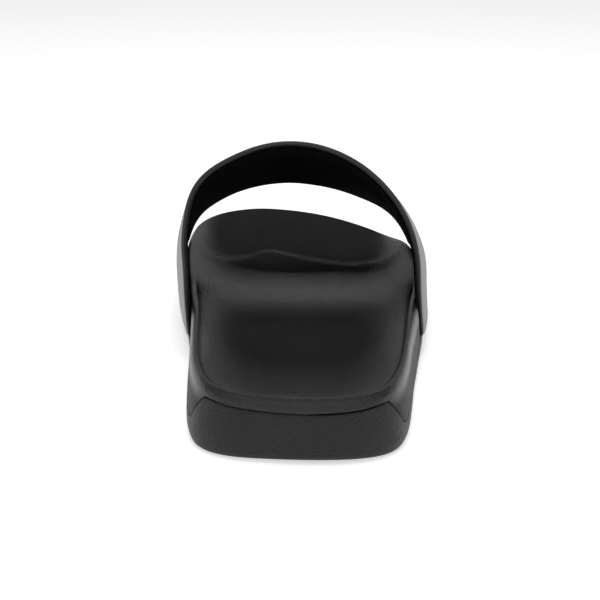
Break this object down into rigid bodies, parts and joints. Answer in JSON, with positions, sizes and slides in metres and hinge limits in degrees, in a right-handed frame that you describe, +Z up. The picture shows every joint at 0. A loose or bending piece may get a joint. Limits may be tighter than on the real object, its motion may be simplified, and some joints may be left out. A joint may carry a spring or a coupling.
{
  "type": "slide sandal",
  "caption": "Black sport slide sandal for the right foot, with a contoured footbed, a raised heel panel and one wide strap.",
  "frame": {"origin": "middle of the box's floor, on the surface the shoe stands on", "axes": "+Y from the heel to the toes, +Z up, +X to the little toe's side"},
  "size_m": [0.1004, 0.2622, 0.0763],
  "materials": {
    "outsole_rubber": "matt black rubber with a fine moulded grain",
    "midsole_foam": "matt black moulded foam with a fine grain",
    "strap_leather": "black, satin outside and fleecy inside"
  },
  "bodies": {
    "root": {"outsole": "outsole_rubber", "midsole": "midsole_foam", "strap": "strap_leather"}
  },
  "joints": []
}
